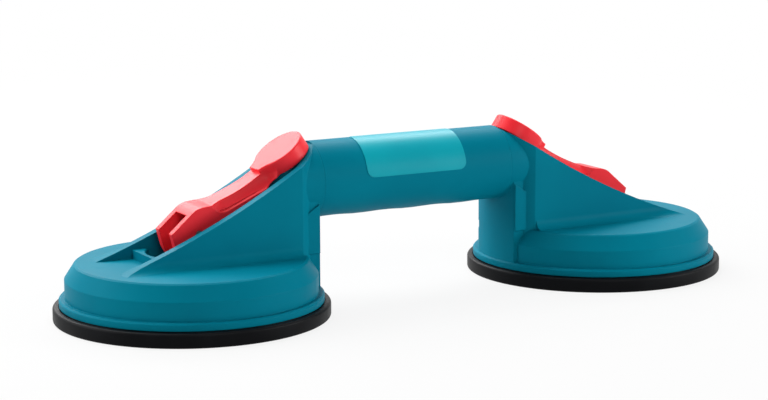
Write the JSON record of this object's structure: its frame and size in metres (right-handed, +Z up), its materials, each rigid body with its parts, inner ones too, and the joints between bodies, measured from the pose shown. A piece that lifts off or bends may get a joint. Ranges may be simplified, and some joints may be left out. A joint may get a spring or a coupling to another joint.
{
  "type": "floor tile suction lifter",
  "caption": "Suction lifter for tiles and glass sheets: round cup housings on rubber pads, each with a folding red cam lever, joined by a round grip with finger rests.",
  "frame": {"origin": "on the floor under the rubber pads, midway between the two cups and on the grip's centre plane", "axes": "+X along the grip to the right cup, +Z up from the sheet that the pads stand on, +Y to the far side"},
  "size_m": [0.32, 0.117, 0.0747],
  "materials": {
    "teal_plastic": "satin moulded",
    "red_plastic": "satin moulded",
    "rubber": "smooth moulded",
    "steel": "zinc plated",
    "guide_plastic": "natural",
    "label_film": "bare printed film, blank"
  },
  "bodies": {
    "frame": {"left_housing": "teal_plastic", "left_suction_pad": "rubber", "left_stem_bush": "guide_plastic", "left_wear_plate": "steel", "left_return_spring": "steel", "right_housing": "teal_plastic", "right_suction_pad": "rubber", "right_stem_bush": "guide_plastic", "right_wear_plate": "steel", "right_return_spring": "steel", "grip": "teal_plastic", "grip_label": "label_film"},
    "left_stem": {"left_pull_stem": "steel", "left_pad_plate": "steel"},
    "left_lever": {"left_cam_lever": "red_plastic", "left_pivot_pin": "steel"},
    "right_stem": {"right_pull_stem": "steel", "right_pad_plate": "steel"},
    "right_lever": {"right_cam_lever": "red_plastic", "right_pivot_pin": "steel"}
  },
  "joints": [
    {"name": "left_stem_slide", "type": "slide", "parent": "frame", "child": "left_stem", "axis": [0, 0, -1], "range_m": [0, 0.003], "deforming": ["left_suction_pad", "left_return_spring"]},
    {"name": "left_lever_hinge", "type": "hinge", "parent": "left_stem", "child": "left_lever", "pos_m": [-0.1015, 0, 0.0363], "axis": [0, -1, 0], "range_deg": [0, 75]},
    {"name": "right_stem_slide", "type": "slide", "parent": "frame", "child": "right_stem", "axis": [0, 0, -1], "range_m": [0, 0.003], "deforming": ["right_suction_pad", "right_return_spring"]},
    {"name": "right_lever_hinge", "type": "hinge", "parent": "right_stem", "child": "right_lever", "pos_m": [0.1015, 0, 0.0363], "axis": [0, 1, 0], "range_deg": [0, 75]}
  ],
  "couplings": [
    {"joint": "left_stem_slide", "follows": "left_lever_hinge", "m_per_rad": 0.00229},
    {"joint": "right_stem_slide", "follows": "right_lever_hinge", "m_per_rad": 0.00229}
  ]
}
